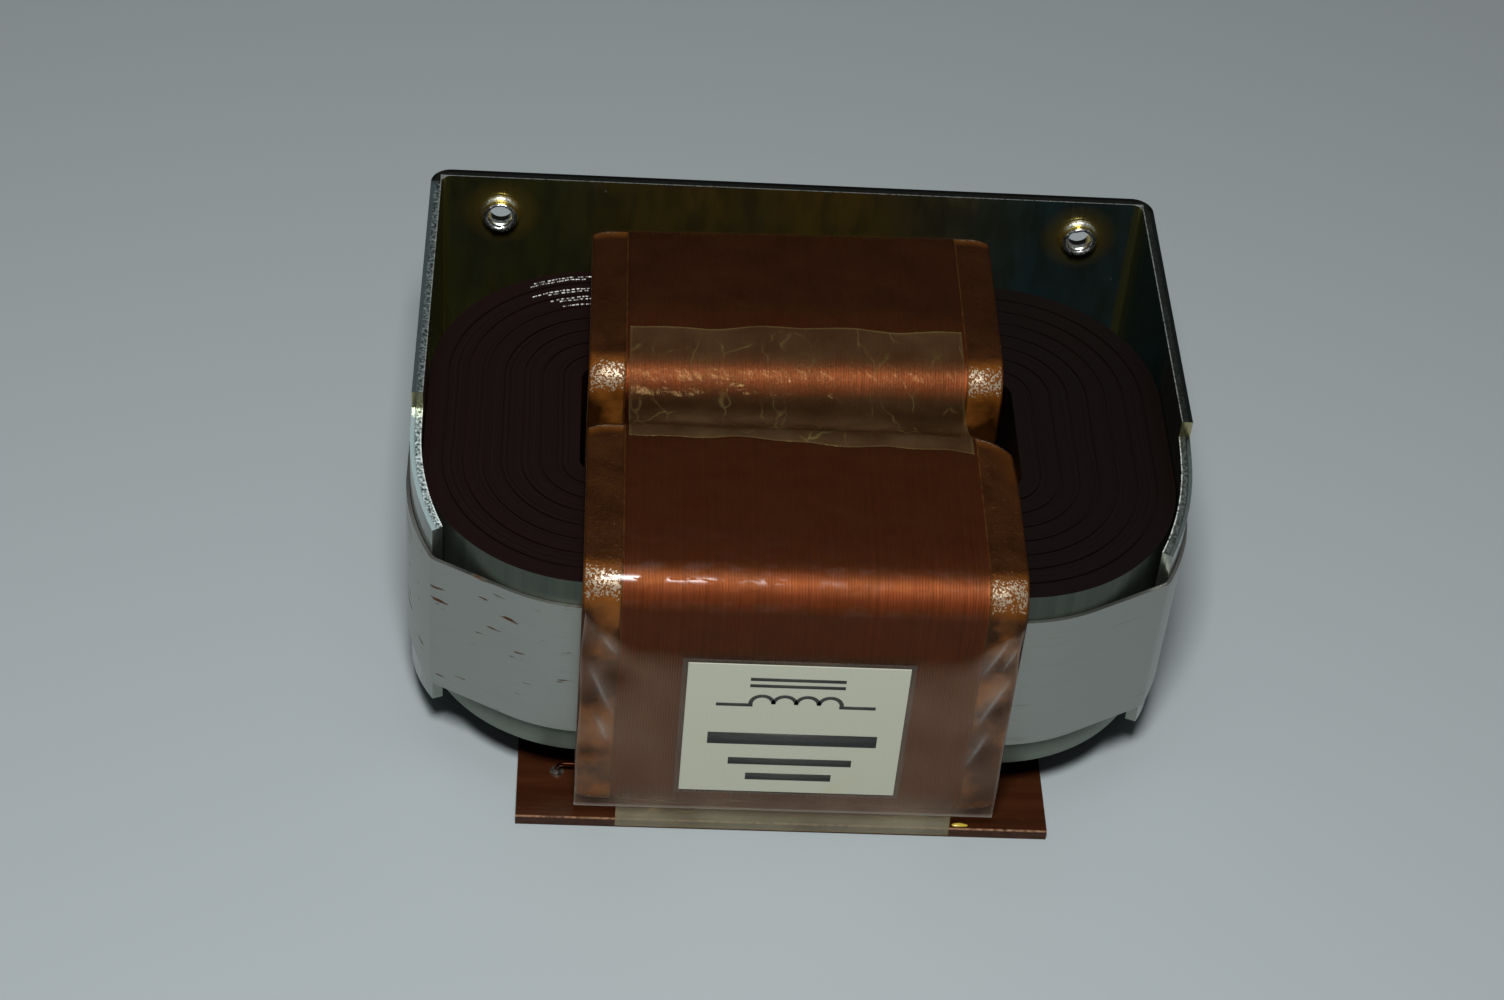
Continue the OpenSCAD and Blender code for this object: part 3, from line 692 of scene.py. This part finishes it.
# Label: a cream paper label stuck on the face film, faintly stained, with a plain coil symbol
# and three bars in dark ink. Its clear top sheet reaches a little beyond the paper.
label_low, label_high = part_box("face_label")
label_mid = (label_low + label_high) / 2
top_sheet_past, top_sheet_stand = 0.0007, 0.00004
top_sheet_thick, ink_thick = 0.00003, 0.00002
paper, tree, shader = finish("label_paper", {"Roughness": 0.55, "Specular IOR Level": 0.3})
place = on_piece(tree)
fibre = grain(place, 3200, 3)
cream = mix(fibre, (0.46, 0.475, 0.375), (0.54, 0.55, 0.44))
stain = within(grain(place, 95, 3), 0.58, 0.78, 0.0, 0.55)
feed(shader, "Base Color", mix(stain, cream, (0.50, 0.45, 0.25)))
emboss(shader, 0.15, 0.00005, fibre)
paint(paper, "face_label")


def upright(bm, spot, width, height):
    """A rectangle that stands across Y, round a spot, as its vertices."""
    made = bmesh.ops.create_grid(bm, x_segments=1, y_segments=1, size=0.5)["verts"]
    reach = 2 * max(v.co.x for v in made)
    bmesh.ops.scale(bm, verts=made, vec=(width / reach, height / reach, 1))
    bmesh.ops.rotate(bm, verts=made, matrix=Matrix.Rotation(math.pi / 2, 3, "X"))
    bmesh.ops.translate(bm, verts=made, vec=spot)
    return made


laminate = clear_film("label_top_sheet", ((0.30, 0.27, 0.22), (0.36, 0.33, 0.27)), (0.12, 0.16),
                      (0.5, 0.5, 0.45), 0.0, (1, 1, 1), (1.0, 1.0, 1.0), 0.1)
bm = bmesh.new()
painted_highlight_line, hold = bm.verts.layers.float.new("painted_highlight_line"), bm.verts.layers.float.new("hold")
top_width = label_high.x - label_low.x + 2 * top_sheet_past
top_height = label_high.z - label_low.z + 2 * top_sheet_past
outer = upright(bm, (label_mid.x, label_high.y - top_sheet_stand, label_mid.z), top_width, top_height)
sheet = bm.faces[:][0]
for width in (0.0003, 0.0006):
    bmesh.ops.inset_individual(bm, faces=[sheet], thickness=width, use_even_offset=True)
bmesh.ops.delete(bm, geom=[sheet], context="FACES_ONLY")
# A faint painted highlight line along the top sheet's outer edge
for vert in bm.verts:
    vert[painted_highlight_line] = 0.16 if vert in outer else 0.0
    vert[hold] = 1.0
thicken(add_piece("label_top_sheet", bm, laminate, "clear_film"), top_sheet_thick)

ink, tree, shader = finish("label_ink", {"Roughness": 0.5})
speckle = grain(on_piece(tree), 2500, 3)
feed(shader, "Base Color", mix(speckle, (0.012, 0.012, 0.011), (0.05, 0.05, 0.045)))
line_half, bow_radius, bow_z = 0.00028, 0.0015, 0.005
bm = bmesh.new()
for x in (-0.0045, -0.0015, 0.0015, 0.0045):
    centre = Vector((label_mid.x + x, label_low.y, label_mid.z + bow_z))
    across = [bmesh.ops.create_vert(bm, co=centre + Vector((radius, 0, 0)))["vert"][0]
              for radius in (bow_radius - line_half, bow_radius + line_half)]
    bmesh.ops.spin(bm, geom=across + [bm.edges.new(across)], cent=centre, axis=(0, 1, 0), angle=-math.pi,
                   steps=16, use_duplicate=False)
bmesh.ops.remove_doubles(bm, verts=bm.verts[:], dist=0.000001)
# Wire ends and core lines of the symbol, and the bars, as X, Z, width and height on the label
for x, z, width, height in ((-0.0081, 0.00472, 0.0048, 0.00056), (0.0081, 0.00472, 0.0048, 0.00056),
                            (0.0, 0.0084, 0.0125, 0.00056), (0.0, 0.0096, 0.0125, 0.00056),
                            (0.0, -0.0018, 0.0225, 0.0022), (0.0, -0.0062, 0.0165, 0.0013),
                            (0.0, -0.0092, 0.0115, 0.0013)):
    upright(bm, (label_mid.x + x, label_low.y, label_mid.z + z), width, height)
raised = bmesh.ops.extrude_face_region(bm, geom=bm.faces[:])["geom"]
raised = [g for g in raised if isinstance(g, bmesh.types.BMVert)]
bmesh.ops.translate(bm, verts=raised, vec=(0, -ink_thick, 0))
add_piece("label_print", bm, ink, "label_paper")


# Board tape: a strip of clear tape that holds the face film's lower edge down over
# the front edge of the terminal board, yellowed in streaks.
tape_low, tape_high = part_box("board_tape")
tape_thick = 0.00004
on_film, on_board = film_low.y - 0.00003, board_low.y - 0.00005
tape_path = [Vector((0, on_film, tape_high.z)), Vector((0, on_film, board_high.z + 0.002)),
             Vector((0, on_board, board_high.z)), Vector((0, on_board, board_low.z + 0.0003))]
board_tape_finish = clear_film("yellowed_tape", ((0.26, 0.235, 0.16), (0.38, 0.345, 0.235)), (0.44, 0.58),
                               (0.46, 0.29, 0.08), 0.5, (0.25, 1, 1.6), (1.0, 0.9, 0.7), 0.2)


def along_path(path, share):
    """The point at a share of a path's length."""
    lengths = [(b - a).length for a, b in zip(path, path[1:])]
    left = share * sum(lengths)
    for a, b, length in zip(path, path[1:], lengths):
        if left <= length or b is path[-1]:
            return a.lerp(b, min(1.0, left / length))
        left -= length


bm, painted_highlight_line, hold = sheet_grid(72, 24)
for vert in bm.verts:
    u, v = vert.co.x, vert.co.y
    spot = along_path(tape_path, 1 - v)
    bow = 0.00008 * noise.noise(Vector((u * 9, v * 2, 3.0)))
    # Painted highlight lines along the tape's lower edge and both ends
    vert[painted_highlight_line] = 0.35 * near(v, 0.0, 0.06) + 0.35 * max(near(u, 0.0, 0.006), near(u, 1.0, 0.006))
    vert[hold] = 1.0 - clamp((v - 0.35) / 0.3)
    vert.co = Vector((tape_low.x + u * (tape_high.x - tape_low.x), spot.y - abs(bow), spot.z))
thicken(add_piece("board_edge_tape", bm, board_tape_finish, "clear_film", "board_tape"), tape_thick)

# A drop of yellow varnish, dried on the board beside the tape's right end
yellow, tree, shader = finish("yellow_varnish", {"Specular IOR Level": 0.6, "Roughness": 0.2})
cloudy = grain(on_piece(tree), 1500, 2)
feed(shader, "Base Color", mix(cloudy, (0.30, 0.20, 0.018), (0.62, 0.50, 0.07)))
drop_radius, drop_narrow = 0.00105, 0.32
bm = bmesh.new()
base = bmesh.ops.create_circle(bm, cap_ends=False, segments=24, radius=drop_radius)["verts"]
bmesh.ops.scale(bm, verts=base, vec=(1, drop_narrow, 1))
loop = bm.edges[:]
for size, rise in ((0.97, 0.00009), (0.84, 0.00009), (0.6, 0.00006), (0.3, 0.00002)):
    fresh, loop = grow(bm, loop)
    bmesh.ops.scale(bm, verts=fresh, vec=(size, size, 1))
    bmesh.ops.translate(bm, verts=fresh, vec=(0, 0, rise))
bmesh.ops.holes_fill(bm, edges=bm.edges[:])
for vert in bm.verts:
    vert.co.xy *= 1 + 0.3 * noise.noise(Vector((vert.co.x * 1500, vert.co.y * 1500, 4.0)))
drop_spot = Vector((tape_high.x + 0.0014, board_low.y + 0.0007, board_high.z))
bmesh.ops.translate(bm, verts=bm.verts[:], vec=drop_spot)
add_piece("varnish_drop", bm, yellow, "margin_film")


# Bridging tape: clear tape laid across both coils to hold them together. It sags into the
# valley, has wrinkles and bubbles, and its front edge is cut in a wave.
bridge_low, bridge_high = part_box("bridge_tape")
front_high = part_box("coil_wrap_front")[1]
rear_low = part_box("coil_wrap_rear")[0]
coil_top = front_high.z
over, bridge_thick = 0.00006, 0.00005
dip = math.radians(38)
edge_y = (rear_low.y - front_high.y) / 2 + wrap_corner
edge_z = coil_top - wrap_corner
edge_r = wrap_corner + over
sag_z = edge_z + edge_y / math.tan(dip)
sag_r = edge_y / math.sin(dip) - edge_r
bridge_finish = clear_film("wrinkled_tape", ((0.088, 0.054, 0.023), (0.16, 0.10, 0.046)), (0.22, 0.36),
                           (0.27, 0.225, 0.065), 0.5, (1, 0.4, 0.4), (1.0, 0.66, 0.28), 1.0)


def bridge_line(front_length, rear_back):
    """The tape's line from the rear coil's top, over its edge, through the valley and onto the front coil."""
    points = [Vector((0, bridge_high.y - rear_back, coil_top + over))]
    for i in range(9):
        a = dip * i / 8
        points.append(Vector((0, valley_y + edge_y - edge_r * math.sin(a), edge_z + edge_r * math.cos(a))))
    for i in range(1, 16):
        a = dip * (1 - i / 8)
        points.append(Vector((0, valley_y + sag_r * math.sin(a), sag_z - sag_r * math.cos(a))))
    for i in range(9):
        a = dip * (1 - i / 8)
        points.append(Vector((0, valley_y - edge_y + edge_r * math.sin(a), edge_z + edge_r * math.cos(a))))
    points.append(Vector((0, valley_y - edge_y - front_length, coil_top + over)))
    return points


bm, painted_highlight_line, hold = sheet_grid(110, 90)
for vert in bm.verts:
    u, v = vert.co.x, vert.co.y
    front_length = 0.0003 + 0.0018 * max(0.0, u - 0.3)
    front_length += 0.00025 * math.sin(u * 13) + 0.00015 * math.sin(u * 31 + 1)
    rear_back = 0.0005 + 0.0003 * math.sin(u * 9) + 0.0002 * math.sin(u * 23 + 2)
    spot = along_path(bridge_line(front_length, rear_back), 1 - v)
    x = bridge_low.x + u * (bridge_high.x - bridge_low.x)
    ripple = noise.fractal(Vector((x * 220, spot.y * 220, 5.0)), 0.9, 2.0, 3)
    bubble = max(0.0, noise.noise(Vector((x * 330, spot.y * 330, 11.0))) - 0.25)
    # Painted highlight lines along the tape's rear and front edges and both ends
    vert[painted_highlight_line] = min(1.0, 0.6 * near(v, 1.0, 0.012) + 0.3 * near(v, 0.0, 0.012)
                       + 0.35 * max(near(u, 0.0, 0.004), near(u, 1.0, 0.004)))
    vert[hold] = 0.35 + 0.65 * clamp((0.42 - v) / 0.12) + 0.4 * clamp((v - 0.74) / 0.08)
    vert.co = Vector((x, spot.y, spot.z + 0.00006 * abs(ripple) + 0.00022 * bubble))
    settle(vert.co)
thicken(add_piece("wrinkled_bridge_tape", bm, bridge_finish, "clear_film", "bridge_tape"), bridge_thick)


# Bracket: one sheet of steel, punched, folded and zinc plated, with tapped collars drawn from the
# back plate. The plating is bright, with painted yellow reflections at the bends and round the collars, and
# the sheared edges are bare.
plate_low, plate_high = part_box("mounting_bracket")
plate_mid_z = (plate_low.z + plate_high.z) / 2
hole_x, hole_z = 0.0425, 0.0175
arm_radius = 0.0318
bend_start = core_low.y + core_corner
zinc, tree, shader = finish("zinc_plate", {"Metallic": 0.95})
place = on_piece(tree)
x, y, z = axes(place)
off_middle = unsigned(x)
facing = surface_axes(tree)
patch = grain(place, 70, 4)
brushed = grain(place, 1500, 3, (1, 1, 0.06))
speck = grain(place, 2600, 3)
# Inner faces: olive chromate on the left and teal on the right, golden in the middle as a painted reflection
# of the coils behind, mottled, with some dust
inner = mix(within(x, -0.035, -0.012), (0.36, 0.34, 0.075), (0.70, 0.47, 0.065))
inner = mix(within(x, 0.012, 0.036), inner, (0.15, 0.33, 0.37))
inner = mix(within(patch, 0.35, 0.7, 0.0, 0.6), inner, (0.20, 0.23, 0.13))
mottle = within(grain(place, 380, 6, (1, 1, 0.35)), 0.42, 0.62, 0.0, 0.5)
inner = mix(mottle, inner, (0.13, 0.14, 0.07))
# Painted shade: the side walls' inner faces darker than the plate
wall_painted_shade = within(unsigned(facing[0]), 0.75, 0.95, 0.0, 0.85)
inner = mix(wall_painted_shade, inner, (0.045, 0.066, 0.055))
# Painted reflection: a yellow stripe along the bends between the plate and the walls
bend_painted_reflection = within(unsigned(times(facing[0], facing[1])), 0.12, 0.38, 0.0, 0.8)
bend_painted_reflection = times(bend_painted_reflection, within(y, 0.028, 0.031))
inner = mix(bend_painted_reflection, inner, (0.44, 0.40, 0.075))
off_hole_x = minus(off_middle, hole_x)
off_hole_z = minus(unsigned(minus(z, plate_mid_z)), hole_z)
ring = length_of(put(tree, "CombineXYZ", {0: off_hole_x, 1: off_hole_z}))
ring = within(plus(ring, times(patch, 0.0012)), 0.0066, 0.0036)
# Painted reflection: a golden ring round each collar, where the drawn cone reflects the lamp
collar_painted_reflection = times(ring, within(y, plate_high.y - 0.004, plate_high.y - 0.003), 0.9)
inner = mix(collar_painted_reflection, inner, (0.80, 0.56, 0.10))
dust = put(tree, "TexVoronoi", {"Vector": place, "Scale": 330, "Randomness": 1.0}).node.outputs
some = within(axes(dust[1])[0], 0.86, 0.88)
inner = mix(times(within(dust[0], 0.085, 0.05), some), inner, (0.85, 0.85, 0.78))
# Outer faces: plain bright zinc with a faint yellow, darkened along the arms as painted shade
outer = mix(within(patch, 0.35, 0.7), (0.46, 0.48, 0.44), (0.56, 0.59, 0.57))
outer = mix(within(y, bend_start + 0.004, bend_start, 0.0, 0.55), outer, (0.13, 0.15, 0.13))
# How squarely a face looks out of the bent sheet, from the middle of the arm's bend
arm_across = minus(off_middle, plate_high.x - arm_radius)
arm_along = calc("MINIMUM", minus(y, bend_start), 0.0)
from_bend = put(tree, "CombineXYZ", {0: arm_across, 1: arm_along})
straight_out = put(tree, "VectorMath", {0: from_bend}, operation="NORMALIZE")
across_wall = times(facing[0], calc("SIGN", x))
face_out = put(tree, "CombineXYZ", {0: across_wall, 1: facing[1]})
sheet_facing = put(tree, "VectorMath", {0: straight_out, 1: face_out}, 1, operation="DOT_PRODUCT")
at_plate = within(y, plate_high.y - 0.012, plate_high.y - 0.010)
inward = calc("MAXIMUM", times(sheet_facing, -1.0), times(facing[1], -1.0, at_plate))
sheet = mix(within(inward, 0.5, 0.75), outer, inner)
sheet = mix(within(brushed, 0.3, 0.7, 0.0, 0.3), sheet, (0.16, 0.18, 0.15))
# Sheared edges: burnished along the outer face, torn and speckled towards the inner one
from_outside = minus(arm_radius, length_of(from_bend))
from_outside = calc("MINIMUM", from_outside, minus(plate_high.y, y))
torn = within(plus(from_outside, times(speck, 0.0003)), 0.00065, 0.00085)
# Painted light on the edges: lit on the left, in shade towards the right and along the plate's top edge,
# partly lit on the arms
off_plate = minus(1.0, within(y, plate_high.y - 0.0034, plate_high.y - 0.0026))
lit = times(within(x, 0.02, -0.035, 0.08, 1.0), off_plate)
lit_arm = times(within(y, bend_start + 0.004, bend_start), within(x, 0.03, -0.03, 0.2, 0.7))
lit = calc("MAXIMUM", lit, lit_arm)
burnished = mix(lit, (0.030, 0.033, 0.026), (0.36, 0.47, 0.47))
fracture = mix(within(speck, 0.38, 0.66), (0.045, 0.06, 0.055), (0.58, 0.70, 0.69))
fracture = mix(lit, (0.035, 0.038, 0.03), fracture)
shear = mix(torn, burnished, fracture)
burr = times(within(from_outside, 0.00132, 0.0014), within(speck, 0.3, 0.5))
shear = mix(burr, shear, (0.75, 0.80, 0.76))
upward = within(unsigned(facing[2]), 0.4, 0.7)
# Steps and tips of the arms, yellow at the steps
tip = times(within(unsigned(sheet_facing), 0.7, 0.4), minus(1.0, at_plate), minus(1.0, upward))
cut_tone = mix(within(y, bend_start - 0.004, bend_start), (0.20, 0.225, 0.20), (0.46, 0.37, 0.10))
sheet = mix(tip, sheet, mix(speck, cut_tone, (0.35, 0.37, 0.33)))
feed(shader, "Base Color", mix(upward, sheet, shear))
torn_edge = times(upward, torn)
rough = within(brushed, 0.3, 0.7, 0.12, 0.26)
feed(shader, "Roughness", plus(rough, times(torn_edge, 0.25)))
emboss(shader, 0.15, 0.0001, plus(brushed, times(speck, torn_edge, 4.0)))
paint(zinc, "mounting_bracket")

# Burrs round the collars' rims, torn where the drawn sheet opened
collar_y, collar_bore = plate_high.y - 0.00238, 0.00172
bm = bmesh.new()
for side in (-1, 1):
    for level in (-1, 1):
        centre = Vector((side * hole_x, collar_y, plate_mid_z + level * hole_z))
        stand = Matrix.Translation(centre) @ Matrix.Rotation(math.pi / 2, 4, "X")
        lip = bmesh.ops.create_circle(bm, cap_ends=False, segments=40, radius=collar_bore,
                                      matrix=stand)["verts"]
        loop = first = list({e for v in lip for e in v.link_edges})
        rings = []
        for size, rise in ((1.12, 0.00032), (1.2, 0.0003), (1.1, -0.00036)):
            fresh, loop = grow(bm, loop)
            bmesh.ops.scale(bm, verts=fresh, vec=(size, 1, size), space=Matrix.Translation(-centre))
            bmesh.ops.translate(bm, verts=fresh, vec=(0, -rise, 0))
            rings.append(fresh)
        bmesh.ops.bridge_loops(bm, edges=loop + first)
        for vert in rings[0] + rings[1]:
            vert.co.y -= 0.0003 * noise.noise(vert.co * 1900)
            vert.co += 0.0002 * noise.noise(vert.co * 2600) * (vert.co - centre).normalized()
bmesh.ops.remove_doubles(bm, verts=bm.verts[:], dist=0.000001)
torn_steel, tree, shader = finish("torn_collar_edge", {"Metallic": 1.0})
tear = grain(on_piece(tree), 3600, 3)
feed(shader, "Base Color", mix(tear, (0.34, 0.36, 0.34), (0.82, 0.84, 0.82)))
feed(shader, "Roughness", within(tear, 0.3, 0.7, 0.2, 0.45))
add_piece("collar_burrs", bm, torn_steel, "zinc_sheet")


# Clamping band: a thin strip of bright cold-rolled steel, pulled round the front of the core and bent
# back over the arms' tips. It has fine rolling lines and a few short rusty scratches.
band_steel, tree, shader = finish("band_steel", {"Metallic": 1.0, "Anisotropic": 0.4})
x, y, z = axes(on_piece(tree))
along_band = put(tree, "CombineXYZ", {0: minus(x, y), 1: 0.0, 2: z})
roll = grain(along_band, 2200, 3, (0.03, 1, 1))
cloud = within(grain(along_band, 70, 3), 0.35, 0.7, 0.0, 0.5)
steel = mix(within(roll, 0.3, 0.7), (0.345, 0.35, 0.325), (0.385, 0.392, 0.366))
steel = mix(cloud, steel, (0.38, 0.38, 0.34))
scratch = within(grain(along_band, 170, 2, (0.75, 1, 5.5)), 0.65, 0.69)
rust = times(scratch, within(x, -0.02, -0.032, 0.12, 1.0))
feed(shader, "Base Color", mix(rust, steel, (0.16, 0.075, 0.03)))
rough = within(roll, 0.3, 0.7, 0.32, 0.44)
feed(shader, "Roughness", plus(rough, times(rust, 0.3)))
emboss(shader, 0.03, 0.00008, roll)
paint(band_steel, "core_band")


# Studio: a plain pale floor with a slight gloss, a soft lamp above the camera,
# a large weak lamp overhead to the rear, and a dim even sky.
bm = bmesh.new()
bmesh.ops.create_grid(bm, x_segments=1, y_segments=1, size=3.0)
floor_mesh = bpy.data.meshes.new("floor")
bm.to_mesh(floor_mesh)
bm.free()
floor = bpy.data.objects.new("floor", floor_mesh)
bpy.context.scene.collection.objects.link(floor)
floor_paint, tree, shader = finish("pale_floor", {
    "Base Color": (0.335, 0.375, 0.385, 1.0), "Roughness": 0.5, "Specular IOR Level": 0.3})
floor_mesh.materials.append(floor_paint)

world = bpy.data.worlds.new("sky")
bpy.context.scene.world = world
world.use_nodes = True
sky = world.node_tree.nodes["Background"].inputs
sky["Color"].default_value = (0.92, 0.96, 1.0, 1.0)
sky["Strength"].default_value = 0.07

look_at = Vector((0.0, -0.004, 0.02))


def lamp(name, spot, power, size):
    light = bpy.data.lights.new(name, "AREA")
    light.energy = power
    light.size = size
    holder = bpy.data.objects.new(name, light)
    holder.location = spot
    holder.rotation_euler = (look_at - Vector(spot)).to_track_quat("-Z", "Y").to_euler()
    bpy.context.scene.collection.objects.link(holder)


lamp("main lamp", (-0.038, -0.24, 0.46), 2.7, 0.09)
lamp("rear lamp", (0.0, 0.2, 1.3), 1.4, 0.8)

# Camera: where the photograph was taken from, found from the bracket's, the core's and the board's edges
turn, down, tilt = math.radians(4.921), math.radians(43.069), math.radians(5.472)
forward = Vector((math.sin(turn) * math.cos(down), math.cos(turn) * math.cos(down), -math.sin(down)))
level = forward.cross(Vector((0, 0, 1))).normalized()
rise = level.cross(forward)
right = math.cos(tilt) * level + math.sin(tilt) * rise
up = math.cos(tilt) * rise - math.sin(tilt) * level
view = bpy.data.cameras.new("camera")
view.sensor_fit = "HORIZONTAL"
view.sensor_width = 36.0
view.lens = 73.125
view.clip_start = 0.01
camera = bpy.data.objects.new("camera", view)
pose = Matrix((right, up, -forward)).transposed().to_4x4()
pose.translation = (-0.03231, -0.31356, 0.31732)
camera.matrix_world = pose
bpy.context.scene.collection.objects.link(camera)
bpy.context.scene.camera = camera
bpy.context.scene.view_settings.view_transform = "Standard"

bpy.context.view_layer.update()
